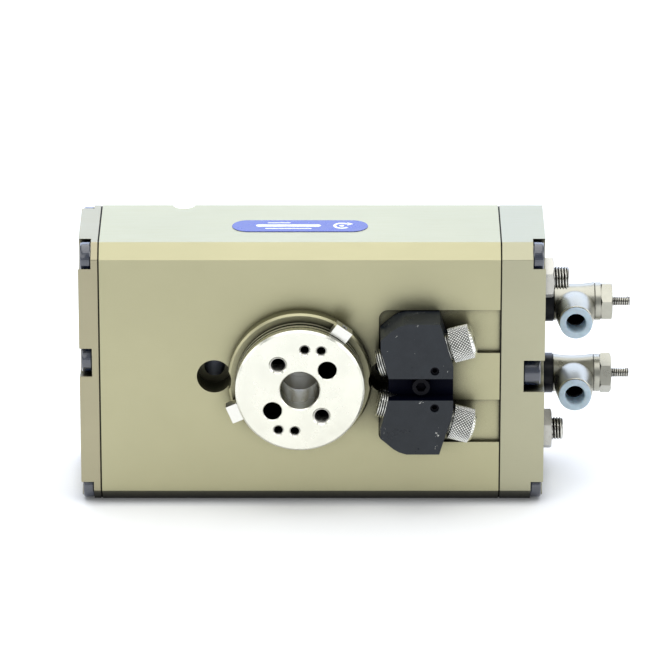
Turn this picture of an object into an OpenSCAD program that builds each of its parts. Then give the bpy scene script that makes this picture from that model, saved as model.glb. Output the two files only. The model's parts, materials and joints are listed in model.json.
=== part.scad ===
// Rotary pneumatic actuator: two rack pistons turn a hollow pinion shaft with an output flange.
// The origin is the centre of the flange's outer face, on the axis of rotation.
// +X points to the ported end cap, +Y into the housing, and +Z up. All sizes are in millimetres.

/* [Housing] */
// Length of the housing block between its two gaskets
block_len = 172; // [172:1:180]
// Height of the housing block
block_h = 119; // [118:0.5:122]
// Depth of the housing block, from its front face to its rear face
block_d = 58; // [58:0.5:60]
// Chamfer on the four long edges
edge_chamfer = 6; // [5:0.5:6.5]
// Distance from the flange's outer face back to the housing's front face
face_y = 17; // [17:0.25:18]
// Thickness of each gasket
gasket_t = 0.6; // [0.4:0.1:1]
// Thickness of the plain end cap
left_cap_t = 8.4; // [8:0.1:10]
// Thickness of the ported end cap
right_cap_t = 18.8; // [18:0.1:20]
// Distance between the two mounting holes through the housing
mount_spacing = 74; // [72:0.5:76]
// Diameter of the mounting holes
mount_hole_d = 9; // [8.5:0.1:9.5]
// Diameter of the counterbores over the mounting holes
mount_sink_d = 15; // [14:0.5:15]

/* [Output flange] */
// Diameter of the output flange
flange_d = 55.4; // [54.5:0.1:56]
// Thickness of the flange's disc
flange_t = 3.9; // [3.5:0.1:4]
// Diameter of the hub that carries the cam rings
hub_d = 48; // [47:0.1:49]
// Diameter of the through bore
bore_d = 17; // [16:0.5:17.5]
// Diameter of the bolt circle
bolt_circle_d = 30; // [29:0.5:31]
// Angle that the flange stands at in the modelled position
rest_turn = 38.5; // [0:0.5:90]

/* [Gearing] */
// Gear module of the pinion and racks
gear_module = 2; // [2:0.01:2.02]
// Number of teeth on the pinion
pinion_teeth = 18; // [18:1:18]
// Diameter of the two piston bores
piston_bore_d = 40; // [39.6:0.1:40]
// Height of each piston bore's axis above or below the pinion
piston_z = 35.2; // [35:0.1:35.4]
// Distance of the piston axes behind the flange's outer face
piston_y = 44; // [43.5:0.1:44.5]
// Length of each rack piston
piston_len = 103; // [101:0.5:103.5]

/* [Sensing] */
// Distance of the cam lugs' outer faces from the axis
lug_reach = 33; // [31:0.5:33.5]
// Width of each cam lug
lug_w = 8; // [6:0.5:10]
// Angle of each sensor plug above or below the horizontal
plug_angle = 15; // [14.5:0.5:15.5]
// Thread diameter of the sensor plugs
plug_d = 12; // [11.5:0.5:12]
// Diameter of the sensor plugs' knurled heads
plug_head_d = 15.2; // [13:0.1:15.4]
// Width of the groove across the middle of the sensor bracket
bracket_groove_w = 10; // [9:0.5:11]

/* [Ports] */
// Height of each port above or below the middle
port_z = 16.8; // [16.5:0.1:17.2]
// Distance of the ports behind the flange's outer face
port_y = 63.5; // [63:0.1:63.5]
// Diameter of the swivel hubs and their seats
hub_body_d = 17.6; // [16.6:0.1:17.6]
// Outer diameter of the air tube
tube_d = 8; // [8:0.1:8.2]
// Distance of the release rings' faces behind the flange's outer face
ring_y = 36.5; // [36:0.1:37]

/* [Stops] */
// Thread diameter of the stop screws
stop_d = 10; // [9:0.5:10]
// Distance across the flats of the stop screws' lock nuts
stop_nut_af = 16; // [15:0.5:17]

/* [Hidden] */
$fn = 96;
cut = 1;      // how far a cutting shape runs past the face that it opens
fit = 0.05;   // radial clearance of a running fit

// Housing planes
block_x = block_len / 2;
back_y = face_y + block_d;
top_z = block_h / 2;
cap_in_x = block_x + gasket_t;
left_x = -cap_in_x - left_cap_t;
right_x = cap_in_x + right_cap_t;

// Pocket in the front face for the sensor bracket
pocket_x = 33.9;
pocket_z = 30.6;
pocket_depth = 2;
pocket_r = 4;
land_x = 66;
land_z = 10.8;
mount_sink_depth = 12.4;

// Hole in the top rear edge
edge_hole = [-50.6, back_y - 5.6];
edge_hole_r = 4.85;
edge_hole_depth = 6;

// Cap screws: M8, with low heads in the corners and a full head in the middle of the ported cap
screw_inset = 7.2;
deep_inset = 9.5;
screw_r = 4;
tap_r = 3.4;
screw_gap_r = 4.5;
screw_head_r = 6.5;
low_head_h = 4.6;
full_head_h = 7.4;
low_seat = 5.4;
full_seat = 9;
seat_r = 7.75;
thread_len = 16;
left_mid_z = 6.3;
left_slot_w = 12.8;
right_slot_w = 14.4;
socket_af = 5;
front_y = face_y + screw_inset;
rear_y = back_y - screw_inset;
corner_z = top_z - screw_inset;
deep_y = back_y - deep_inset;
deep_z = top_z - deep_inset;

// Each screw is [y, z, seat depth, head height, width of its slot to the front or 0]
left_screws = [
    [front_y, corner_z, low_seat, low_head_h, 0],
    [front_y, -corner_z, low_seat, low_head_h, 0],
    [rear_y, corner_z, low_seat, low_head_h, 0],
    [rear_y, -corner_z, low_seat, low_head_h, 0],
    [front_y, left_mid_z, low_seat, low_head_h, left_slot_w],
    [rear_y, 0, low_seat, low_head_h, 0]
];
right_screws = [
    [front_y, corner_z, low_seat, low_head_h, 0],
    [front_y, -corner_z, low_seat, low_head_h, 0],
    [deep_y, deep_z, low_seat, low_head_h, 0],
    [deep_y, -deep_z, low_seat, low_head_h, 0],
    [front_y, 0, full_seat, full_head_h, right_slot_w],
    [deep_y, 0, low_seat, low_head_h, 0]
];

// Stack along the output axis
cover_y = 11.3;
cover_r = 31;
cover_chamfer = 0.9;
cover_spigot_r = 26.5;
cover_bore_r = 21;
front_bearing = [17.5, 23.5, face_y + 2, face_y + 9];
rear_bearing = [15, 21, face_y + 42, face_y + 49];
ball_r = 2;
groove_r = 2.1;
front_balls = 22;
rear_balls = 20;
seal_lip = 0.06;
cavity_r = 21.5;
rear_seal_r = 18.5;
rear_cover_y = back_y - 4;
rear_cover_r = 24;
rear_cover_hole_r = 15.6;
rear_screw_circle_r = 20;
hub_end_y = 10.9;
spigot_r = 12;
spigot_y = 23;
sleeve_r = 10;
sleeve_y = 38;
shaft_end_y = back_y - 1;
flange_chamfer = 0.86;
bore_chamfer = 0.5;

// Holes in the flange's face: radius from the axis, angle, hole radius, depth and chamfer
flange_holes = [
    [bolt_circle_d / 2, 0, 4, 8, 0.3],
    [bolt_circle_d / 2, 180, 4, 8, 0.3],
    [bolt_circle_d / 2, 90, 3.4, 9.8, 0.6],
    [bolt_circle_d / 2, 270, 3.4, 9.8, 0.6],
    [18.8, 45, 2.1, 8, 0.4],
    [18.8, 225, 2.1, 8, 0.4],
    [20.4, 24.7, 2.1, 8, 0.4],
    [20.4, 204.7, 2.1, 8, 0.4]
];

// Cam rings, each with a lug that spans both rings
ring_a = [4, 6.6];
spacer = [6.7, 8];
ring_b = [8.1, 10.2];
retainer = [10.3, 10.9];
lug_span = [3.95, 9.2];
lug_clear_r = flange_d / 2 + 0.3;
lug_a_angle = 54.25;
lug_b_angle = 203.1;
cam_screw_r = 1.5;

// Pinion and racks
pitch_r = gear_module * pinion_teeth / 2;
tooth_pitch = PI * gear_module;
pressure_angle = 20;
base_r = pitch_r * cos(pressure_angle);
tip_r = pitch_r + gear_module;
root_r = pitch_r - 1.25 * gear_module;
flank_gap = 0.06;
gear_w = 20;
flank_steps = 5;
half_swing = 90;
mid_turn = half_swing - rest_turn;
rest_shift = pitch_r * mid_turn * PI / 180;
half_stroke = pitch_r * half_swing * PI / 180;
bore_r = piston_bore_d / 2;
piston_r = bore_r - 0.4;
teeth_reach = half_stroke + 6;
relief_reach = half_stroke + 13;
seal_r = bore_r - fit;
seal_groove_r = 16.5;
band_groove_r = 18;
seal_at = [3.9, 6.9];
band_at = [0.8, 2.8];
rear_tap_r = 1.2;
rear_screw_r = 1.5;
rear_screw_gap_r = 1.6;
rear_head_r = 2.75;
rear_head_seat_r = 2.9;
rear_head_depth = 2;
rear_thread_len = 3.2;
bracket_screw_r = 2.5;
bracket_screw_gap_r = 2.7;
bracket_tap_r = 2.1;
bracket_thread_len = 10;
bracket_head_r = 3.75;
bracket_head_h = 3.9;

// Small sizes of the screws, seals, label and fittings
rear_screw_angles = [45, 135, 225, 315];
rear_head_gap = 0.2;
rear_socket_depth = 1.4;
rear_socket_af = 2;
label_half_len = 29.3;
label_half_w = 6.95;
label_y = face_y + 25.55;
label_t = 0.3;
port_thread_len = 11.4;
air_way_r = 2.5;
air_slot = [3, 11, 4];
gasket_inset = 0.35;
cap_socket_depth = 2.5;
race_half_gap = 1.2;
seal_front_inset = 1.5;
seal_back_inset = 0.5;
spacer_inset = 0.8;
retainer_inset = 0.6;
cam_screw_start = lug_clear_r + 0.3;
cam_screw_recess = 0.4;
cam_socket = [2, 1.5];
clamp_hole_depth = 4.7;
clamp_span = [1, 3.9];
clamp_socket = [2.6, 2];
bracket_socket = [2.4, 4];
plug_bore_span = [20, 90];
small_chamfer = 0.5;
head_chamfer = 1.4;
stop_chamfer = 0.8;
stop_tip_chamfer = 1;
stop_socket = [5, 5];
nut_turn_off = 0.6;
cross_hole = [10, 1.8];
hub_r = 8.3;
hub_groove = [6.4, 3.5];
barrel_r = [7.1, 7.5, 8.2, 8.6];
barrel_steps = [0.4, 7, 13, 3];
seal_len = 2.4;
grip_len = 2;
tube_seat_r = 4.6;
tube_gap = 0.05;
ring_press_gap = 1.2;
ring_chamfer = 0.4;
needle_tip = [2, 3, 1.4];
needle_slot = [1.5, 0.8];
upper_nut_roll = 12;
lower_nut_roll = -11.5;
rack_relief_h = 10;

// Sensor bracket outline, upper half, from the groove round to the outer face
bracket_half = [
    [38.1, 4.9], [34.6, 18], [34.6, 22.6], [40, 27.4], [42.6, 29], [45.8, 30], [59.9, 30], [65.7, 10.6]
];
bracket_y = [1.3, face_y + pocket_depth];
bracket_floor_y = 8.4;
plug_y = 9;
plug_tip = 34.7;
plug_neck = 67;
plug_end = 77.4;
clamp_at = [57.8, 8.5];
clamp_r = 1.9;
bracket_screw_x = 52;

// Stop screws, one end set further out than the other
stop_tip_x = half_stroke + piston_len / 2 + 0.33;
upper_stop_x = 116.3;
lower_stop_x = 114.7;
stop_nut_t = 4.3;
bumper_r = 12;
bumper_t = 4.4;

// Port fittings along X
collar_x = right_x + 5.1;
hub_x = right_x + 23.2;
washer_x = right_x + 25.7;
nut_x = right_x + 30.8;
stem_x = right_x + 38.6;
barrel_x = right_x + 14.1;
port_thread_r = 4.8;
shank_r = 5;
stem_r = 2.1;
needle_nut_af = 15.2;
washer_r = 8.25;
end_gap = 0.1;
barrel_end_y = ring_y + 1.9;
ring_disc_t = 0.9;
ring_r = 7.1;
ring_sleeve_r = 5.4;
tube_hole_r = tube_d / 2 + 0.2;
grip_y = ring_y + 10;
seal_y = ring_y + 12.6;
tube_stop_y = ring_y + 19.5;
grip_r = 5.9;
air_r = 2.6;

// ---- helpers ----
// Extrudes a shape drawn in (y, z) along X
module along_x(x0, x1) {
    translate([x0, 0, 0]) rotate([90, 0, 90]) linear_extrude(x1 - x0) children();
}

// Extrudes a shape drawn in (x, z) along Y
module along_y(y0, y1) {
    translate([0, y1, 0]) rotate([90, 0, 0]) linear_extrude(y1 - y0) children();
}

// Turns a profile drawn in (radius, y) about a line along Y
module turned_y(x = 0, z = 0) {
    translate([x, 0, z]) rotate([-90, 0, 0]) rotate_extrude() children();
}

// Turns a profile drawn in (radius, x) about a line along X
module turned_x(y = 0, z = 0) {
    translate([0, y, z]) rotate([0, 90, 0]) rotate_extrude() children();
}

// A round bar between two stations on X
module rod_x(x0, x1, r, y = 0, z = 0) {
    translate([min(x0, x1), y, z]) rotate([0, 90, 0]) cylinder(h = abs(x1 - x0), r = r);
}

// A round bar between two stations on Y
module rod_y(y0, y1, r, x = 0, z = 0) {
    translate([x, min(y0, y1), z]) rotate([-90, 0, 0]) cylinder(h = abs(y1 - y0), r = r);
}

// A hexagonal bar between two stations on X, with a flat towards the front
module hex_x(x0, x1, af, y = 0, z = 0) {
    translate([min(x0, x1), y, z]) rotate([0, 90, 0])
        cylinder(h = abs(x1 - x0), r = af / 2 / cos(30), $fn = 6);
}

// A hexagonal bar between two stations on Y
module hex_y(y0, y1, af, x = 0, z = 0) {
    translate([x, y0, z]) rotate([-90, 0, 0]) cylinder(h = y1 - y0, r = af / 2 / cos(30), $fn = 6);
}

// A rectangle of a turned profile, from one radius to another
module band(r0, r1, a0, a1) {
    translate([r0, a0]) square([r1 - r0, a1 - a0]);
}

// Turns its children about the output axis, counter-clockwise as seen from the front
module at_angle(a) {
    rotate([0, -a, 0]) children();
}

// Draws its children above the middle and mirrored below it
module both_sides() {
    children();
    mirror([0, 0, 1]) children();
}

// ---- housing ----
// The section that the block, the gaskets and the caps share, drawn in (y, z)
module housing_section(inset = 0) {
    y0 = face_y + inset;
    y1 = back_y - inset;
    z = top_z - inset;
    c = edge_chamfer;
    polygon([
        [y0 + c, -z], [y1 - c, -z], [y1, -z + c], [y1, z - c],
        [y1 - c, z], [y0 + c, z], [y0, z - c], [y0, -z + c]
    ]);
}

module bracket_pocket() {
    along_y(face_y - cut, face_y + pocket_depth) difference() {
        union() {
            translate([pocket_x + pocket_r, -pocket_z])
                square([block_x + cut - pocket_x - pocket_r, 2 * pocket_z]);
            translate([pocket_x, -pocket_z + pocket_r])
                square([2 * pocket_r, 2 * (pocket_z - pocket_r)]);
            for (z = [-1, 1])
                translate([pocket_x + pocket_r, z * (pocket_z - pocket_r)]) circle(r = pocket_r);
        }
        translate([land_x, -land_z]) square([block_x + 2 * cut - land_x, 2 * land_z]);
    }
}

module output_cavity() {
    rod_y(face_y - cut, front_bearing[2], cover_spigot_r);
    rod_y(face_y, front_bearing[3], front_bearing[1]);
    rod_y(face_y, rear_bearing[2], cavity_r);
    rod_y(face_y, rear_bearing[3], rear_bearing[1]);
    rod_y(face_y, back_y, rear_seal_r);
    rod_y(rear_cover_y, back_y + cut, rear_cover_r);
}

module housing_block() {
    color("#a9a78a") difference() {
        along_x(-block_x, block_x) housing_section();
        both_sides() rod_x(-block_x - cut, block_x + cut, bore_r, piston_y, piston_z);
        output_cavity();
        bracket_pocket();
        for (side = [-1, 1]) {
            x = side * mount_spacing / 2;
            rod_y(face_y - cut, back_y + cut, mount_hole_d / 2, x);
            rod_y(face_y - cut, face_y + mount_sink_depth, mount_sink_d / 2, x);
        }
        for (s = left_screws)
            rod_x(-block_x - cut, -block_x + thread_len + 2, tap_r, s[0], s[1]);
        for (s = right_screws)
            rod_x(block_x - thread_len - 2, block_x + cut, tap_r, s[0], s[1]);
        for (a = rear_screw_angles)
            at_angle(a) rod_y(
                rear_cover_y - rear_thread_len - 0.5, rear_cover_y + cut, rear_tap_r, rear_screw_circle_r
            );
        rod_y(face_y, bracket_y[1] + bracket_thread_len + 1, bracket_tap_r, bracket_screw_x);
        translate([edge_hole[0], edge_hole[1], top_z - edge_hole_depth])
            cylinder(h = edge_hole_depth + cut, r = edge_hole_r);
    }
}

// Seats, clearance holes and front slots for the screws of one cap; dir is +1 for the ported cap
module cap_screw_holes(screws, outer_x, dir) {
    for (s = screws) {
        floor_x = outer_x - dir * s[2];
        rod_x(floor_x, outer_x + dir * cut, seat_r, s[0], s[1]);
        rod_x(dir * (block_x - cut), outer_x, screw_gap_r, s[0], s[1]);
        if (s[4] > 0)
            translate([min(floor_x, outer_x + dir * cut), face_y - cut, s[1] - s[4] / 2])
                cube([s[2] + cut, s[0] - face_y + cut, s[4]]);
    }
}

module left_end_cap() {
    color("#b4ae90") difference() {
        along_x(left_x, -cap_in_x) housing_section();
        cap_screw_holes(left_screws, left_x, -1);
    }
}

// Air way from one port down to the inner face, and across it into the piston bore
module air_way() {
    slot_dir = atan2(piston_z - port_z, piston_y - port_y);
    rod_x(right_x - port_thread_len, right_x + cut, port_thread_r, port_y, port_z);
    rod_x(cap_in_x - cut, right_x, air_way_r, port_y, port_z);
    translate([cap_in_x - cut, port_y, port_z]) rotate([slot_dir, 0, 0])
        translate([0, 0, -air_slot[2] / 2]) cube(air_slot + [cut, 0, 0]);
}

module right_end_cap() {
    color("#a3a492") difference() {
        along_x(cap_in_x, right_x) housing_section();
        cap_screw_holes(right_screws, right_x, 1);
        both_sides() {
            rod_x(cap_in_x - cut, right_x + cut, stop_d / 2 + fit, piston_y, piston_z);
            air_way();
        }
    }
}

module gasket(x0, x1, screws) {
    color("#26261f") difference() {
        along_x(x0, x1) housing_section(gasket_inset);
        both_sides() rod_x(x0 - cut, x1 + cut, bore_r, piston_y, piston_z);
        for (s = screws) rod_x(x0 - cut, x1 + cut, screw_gap_r, s[0], s[1]);
    }
}

module left_gasket() gasket(-cap_in_x, -block_x, left_screws);

module right_gasket() gasket(block_x, cap_in_x, right_screws);

module cap_screws(screws, outer_x, dir) {
    color("#1d1f24") for (s = screws) {
        floor_x = outer_x - dir * s[2];
        top_x = floor_x + dir * s[3];
        difference() {
            union() {
                rod_x(floor_x, top_x, screw_head_r, s[0], s[1]);
                rod_x(dir * block_x, floor_x, screw_r, s[0], s[1]);
                rod_x(dir * (block_x - thread_len), dir * block_x, tap_r, s[0], s[1]);
            }
            hex_x(top_x + dir * cut, top_x - dir * cap_socket_depth, socket_af, s[0], s[1]);
        }
    }
}

module left_cap_screws() cap_screws(left_screws, left_x, -1);

module right_cap_screws() cap_screws(right_screws, right_x, 1);

module end_bumpers() {
    color("#222222") both_sides()
        rod_x(-cap_in_x, -cap_in_x + bumper_t, bumper_r, piston_y, piston_z);
}

// ---- bearings, seals and covers ----
module front_bearing_cover() {
    color("#a9a78a") difference() {
        turned_y() difference() {
            union() {
                band(0, cover_r, cover_y, face_y);
                band(0, cover_spigot_r, face_y, front_bearing[2]);
            }
            band(-cut, cover_bore_r, cover_y - cut, front_bearing[2] + cut);
            polygon([
                [cover_r - cover_chamfer, cover_y], [cover_r + cut, cover_y + cover_chamfer + cut],
                [cover_r + cut, cover_y - cut], [cover_r - cover_chamfer - cut, cover_y - cut]
            ]);
        }
        for (side = [-1, 1])
            rod_y(cover_y - cut, face_y + cut, mount_sink_d / 2, side * mount_spacing / 2);
    }
}

module front_shaft_seal() {
    color("#202020") turned_y()
        band(front_bearing[0] + seal_lip, cover_bore_r,
            cover_y + seal_front_inset, front_bearing[2] - seal_back_inset);
}

// One race of a bearing given as [inner radius, outer radius, front y, rear y]
module race(b, r0, r1) {
    mid = [(b[0] + b[1]) / 2, (b[2] + b[3]) / 2];
    color("silver") turned_y() difference() {
        band(r0, r1, b[2], b[3]);
        translate(mid) circle(r = groove_r);
    }
}

module outer_race(b) race(b, (b[0] + b[1]) / 2 + race_half_gap, b[1]);

module inner_race(b) race(b, b[0], (b[0] + b[1]) / 2 - race_half_gap);

module balls(b, count) {
    color("silver") for (i = [0 : count - 1])
        at_angle(i * 360 / count)
            translate([(b[0] + b[1]) / 2, (b[2] + b[3]) / 2, 0]) sphere(r = ball_r);
}

module front_bearing_outer_race() outer_race(front_bearing);

module front_bearing_inner_race() inner_race(front_bearing);

module front_bearing_balls() balls(front_bearing, front_balls);

module rear_bearing_outer_race() outer_race(rear_bearing);

module rear_bearing_inner_race() inner_race(rear_bearing);

module rear_bearing_balls() balls(rear_bearing, rear_balls);

module rear_shaft_seal() {
    color("#202020") turned_y() band(rear_bearing[0] + seal_lip, rear_seal_r, rear_bearing[3], rear_cover_y);
}

module rear_cover() {
    color("#a9a78a") difference() {
        turned_y() band(rear_cover_hole_r, rear_cover_r, rear_cover_y, back_y);
        for (a = rear_screw_angles) at_angle(a) {
            rod_y(rear_cover_y - cut, back_y, rear_screw_gap_r, rear_screw_circle_r);
            rod_y(back_y - rear_head_depth, back_y + cut, rear_head_seat_r, rear_screw_circle_r);
        }
    }
}

module rear_cover_screws() {
    color("#1d1f24") for (a = rear_screw_angles) at_angle(a) difference() {
        union() {
            rod_y(back_y - rear_head_depth, back_y - rear_head_gap, rear_head_r, rear_screw_circle_r);
            rod_y(rear_cover_y, back_y - rear_head_depth, rear_screw_r, rear_screw_circle_r);
            rod_y(rear_cover_y - rear_thread_len, rear_cover_y, rear_tap_r, rear_screw_circle_r);
        }
        hex_y(back_y - rear_socket_depth, back_y + cut, rear_socket_af, rear_screw_circle_r);
    }
}

module label_plate() {
    half = label_half_len;
    r = label_half_w;
    color("#2b3f9b") translate([0, label_y, top_z]) linear_extrude(label_t) {
        square([2 * (half - r), 2 * r], center = true);
        for (side = [-1, 1]) translate([side * (half - r), 0]) circle(r = r);
    }
}

// ---- output ----
module output_flange() {
    r = flange_d / 2;
    color("#d9d8d2") difference() {
        turned_y() polygon([
            [bore_d / 2 + bore_chamfer, 0], [r - flange_chamfer, 0], [r, flange_chamfer], [r, flange_t],
            [hub_d / 2, flange_t], [hub_d / 2, hub_end_y], [spigot_r, hub_end_y], [spigot_r, spigot_y],
            [bore_d / 2, spigot_y], [bore_d / 2, bore_chamfer]
        ]);
        for (h = flange_holes) at_angle(rest_turn + h[1]) {
            rod_y(-cut, h[3], h[2], h[0]);
            translate([h[0], 0, 0]) rotate([-90, 0, 0])
                translate([0, 0, -cut]) cylinder(h = cut + h[4], r1 = h[2] + h[4] + cut, r2 = h[2]);
        }
    }
}

function involute(angle) = tan(angle) * 180 / PI - angle;

// Half the angle that a tooth fills at radius r
function half_tooth(r) =
    90 / pinion_teeth - flank_gap / pitch_r * 180 / PI
    + involute(pressure_angle) - involute(acos(min(1, base_r / r)));

function flank_radius(i) = base_r + (tip_r - base_r) * i / flank_steps;

function polar(r, a) = [r * cos(a), r * sin(a)];

// Outline of one tooth centred on an angle
function tooth(a) = concat(
    [polar(root_r, a - half_tooth(base_r))],
    [for (i = [0 : flank_steps]) polar(flank_radius(i), a - half_tooth(flank_radius(i)))],
    [for (i = [flank_steps : -1 : 0]) polar(flank_radius(i), a + half_tooth(flank_radius(i)))],
    [polar(root_r, a + half_tooth(base_r))]
);

module pinion_shaft() {
    gear_y0 = piston_y - gear_w / 2;
    gear_y1 = piston_y + gear_w / 2;
    color("#8d9096") difference() {
        union() {
            along_y(gear_y0, gear_y1)
                polygon([for (k = [0 : pinion_teeth - 1]) each tooth(90 + k * 360 / pinion_teeth)]);
            turned_y() {
                band(0, front_bearing[0], hub_end_y, front_bearing[3]);
                band(0, root_r - 0.2, front_bearing[3], rear_bearing[2]);
                band(0, rear_bearing[0], rear_bearing[2], shaft_end_y);
            }
        }
        rod_y(hub_end_y - cut, spigot_y, spigot_r);
        rod_y(hub_end_y - cut, sleeve_y, sleeve_r);
        rod_y(hub_end_y - cut, shaft_end_y + cut, bore_d / 2);
    }
}

module centre_sleeve() {
    color("#c9c7bd") turned_y() band(bore_d / 2, sleeve_r, spigot_y, sleeve_y);
}

module cam_spacer_ring() {
    color("#1c1c1c") turned_y() band(hub_d / 2, flange_d / 2 - spacer_inset, spacer[0], spacer[1]);
}

module cam_retaining_ring() {
    color("#8f8f8c") turned_y() band(hub_d / 2, flange_d / 2 - retainer_inset, retainer[0], retainer[1]);
}

// A cam ring with a lug; the part of the lug beside the other ring stands clear of it
module cam(ring, angle) {
    bite = flange_d / 2 - 1;
    color("#d3d2cb") difference() {
        union() {
            turned_y() band(hub_d / 2 + fit, flange_d / 2, ring[0], ring[1]);
            at_angle(angle) {
                translate([lug_clear_r, lug_span[0], -lug_w / 2])
                    cube([lug_reach - lug_clear_r, lug_span[1] - lug_span[0], lug_w]);
                translate([bite, max(ring[0], lug_span[0]), -lug_w / 2])
                    cube([lug_reach - bite, min(ring[1], lug_span[1]) - max(ring[0], lug_span[0]), lug_w]);
            }
        }
        at_angle(angle)
            rod_x(cam_screw_start, lug_reach + cut, cam_screw_r, (lug_span[0] + lug_span[1]) / 2);
    }
}

module cam_screw(angle) {
    y = (lug_span[0] + lug_span[1]) / 2;
    color("#3a3a3a") at_angle(angle) difference() {
        rod_x(cam_screw_start, lug_reach - cam_screw_recess, cam_screw_r, y);
        hex_x(lug_reach - cam_socket[0], lug_reach + cut, cam_socket[1], y);
    }
}

module cam_ring_a() cam(ring_a, lug_a_angle);

module cam_screw_a() cam_screw(lug_a_angle);

module cam_ring_b() cam(ring_b, lug_b_angle);

module cam_screw_b() cam_screw(lug_b_angle);

// ---- rack pistons ----
// The gap between two rack teeth, drawn in (x, z) and centred on x
module rack_gap(x) {
    slope = tan(pressure_angle);
    root_z = pitch_r + 1.25 * gear_module;
    low_z = pitch_r - 2.5 * gear_module;
    half = tooth_pitch / 4 + flank_gap;
    polygon([
        [x - half + (root_z - pitch_r) * slope, root_z], [x + half - (root_z - pitch_r) * slope, root_z],
        [x + half + (pitch_r - low_z) * slope, low_z], [x - half - (pitch_r - low_z) * slope, low_z]
    ]);
}

// The upper piston; the lower one is the same piece turned half round the output axis
module rack_piston() {
    end = piston_len / 2;
    root_z = pitch_r + 1.25 * gear_module;
    tip_z = pitch_r - gear_module;
    first = floor((rest_shift - teeth_reach) / tooth_pitch);
    last = ceil((rest_shift + teeth_reach) / tooth_pitch);
    color("#9a9ca0") difference() {
        rod_x(rest_shift - end, rest_shift + end, piston_r, piston_y, piston_z);
        along_y(piston_y - bore_r, piston_y + bore_r) {
            for (k = [first : last]) rack_gap(k * tooth_pitch);
            translate([rest_shift - relief_reach, tip_z - 5]) square([2 * relief_reach, 5]);
            for (side = [-1, 1])
                translate([rest_shift + side * (teeth_reach + relief_reach) / 2, root_z - rack_relief_h / 2])
                    square([relief_reach - teeth_reach, rack_relief_h], center = true);
        }
        for (side = [-1, 1]) {
            ring_groove(side, seal_at, seal_groove_r);
            ring_groove(side, band_at, band_groove_r);
        }
    }
}

// A span measured inwards from one end of the piston, as stations on X
function from_end(side, span) = [
    rest_shift + side * (piston_len / 2 - span[1]),
    rest_shift + side * (piston_len / 2 - span[0])
];

module ring_groove(side, span, r) {
    x = from_end(side, span);
    turned_x(piston_y, piston_z) band(r, bore_r + cut, min(x), max(x));
}

module piston_rings(span, r) {
    for (side = [-1, 1]) {
        x = from_end(side, span);
        turned_x(piston_y, piston_z) band(r, seal_r, min(x), max(x));
    }
}

module half_round() rotate([0, 180, 0]) children();

module upper_rack_piston() rack_piston();

module upper_piston_seals() color("#1f1f1f") piston_rings(seal_at, seal_groove_r);

module upper_guide_bands() color("#c8b58a") piston_rings(band_at, band_groove_r);

module lower_rack_piston() half_round() rack_piston();

module lower_piston_seals() half_round() upper_piston_seals();

module lower_guide_bands() half_round() upper_guide_bands();

// ---- sensing ----
module sensor_bracket() {
    lower_half = [for (i = [len(bracket_half) - 1 : -1 : 0]) [bracket_half[i][0], -bracket_half[i][1]]];
    color("#33373b") difference() {
        along_y(bracket_y[0], bracket_y[1]) polygon(concat(bracket_half, lower_half));
        translate([0, bracket_y[0] - cut, -bracket_groove_w / 2])
            cube([100, bracket_floor_y - bracket_y[0] + cut, bracket_groove_w]);
        for (side = [-1, 1]) {
            at_angle(side * plug_angle) rod_x(plug_bore_span[0], plug_bore_span[1], plug_d / 2 + fit, plug_y);
            rod_y(bracket_y[0] - cut, bracket_y[0] + clamp_hole_depth, clamp_r,
                clamp_at[0], side * clamp_at[1]);
        }
        rod_y(bracket_floor_y - cut, bracket_y[1] + cut, bracket_screw_gap_r, bracket_screw_x);
    }
}

module bracket_screw() {
    head_y = bracket_floor_y - bracket_head_h;
    color("#17181b") difference() {
        union() {
            rod_y(head_y, bracket_floor_y, bracket_head_r, bracket_screw_x);
            rod_y(bracket_floor_y, bracket_y[1], bracket_screw_r, bracket_screw_x);
            rod_y(bracket_y[1], bracket_y[1] + bracket_thread_len, bracket_tap_r, bracket_screw_x);
        }
        hex_y(head_y - cut, head_y + bracket_socket[0], bracket_socket[1], bracket_screw_x);
    }
}

module bracket_clamp_screws() {
    color("#141518") for (side = [-1, 1]) difference() {
        rod_y(bracket_y[0] + clamp_span[0], bracket_y[0] + clamp_span[1], clamp_r,
            clamp_at[0], side * clamp_at[1]);
        hex_y(bracket_y[0], bracket_y[0] + clamp_socket[0], clamp_socket[1], clamp_at[0], side * clamp_at[1]);
    }
}

module sensor_plug(side) {
    r = plug_head_d / 2;
    color("#c9c6ba") at_angle(side * plug_angle) turned_x(plug_y) polygon([
        [0, plug_tip], [plug_d / 2 - small_chamfer, plug_tip],
        [plug_d / 2, plug_tip + small_chamfer], [plug_d / 2, plug_neck],
        [r - small_chamfer, plug_neck], [r, plug_neck + small_chamfer],
        [r, plug_end - head_chamfer], [r - head_chamfer, plug_end], [0, plug_end]
    ]);
}

module upper_sensor_plug() sensor_plug(1);

module lower_sensor_plug() sensor_plug(-1);

// ---- stops ----
module stop_screw(side, end_x) {
    z = side * piston_z;
    r = stop_d / 2;
    color("#b9b7ad") difference() {
        turned_x(piston_y, z) polygon([
            [0, stop_tip_x], [r - stop_tip_chamfer, stop_tip_x], [r, stop_tip_x + stop_tip_chamfer],
            [r, end_x - stop_chamfer], [r - stop_chamfer, end_x], [0, end_x]
        ]);
        hex_x(end_x - stop_socket[0], end_x + cut, stop_socket[1], piston_y, z);
    }
}

module upper_stop_screw() stop_screw(1, upper_stop_x);

module lower_stop_screw() stop_screw(-1, lower_stop_x);

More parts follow.
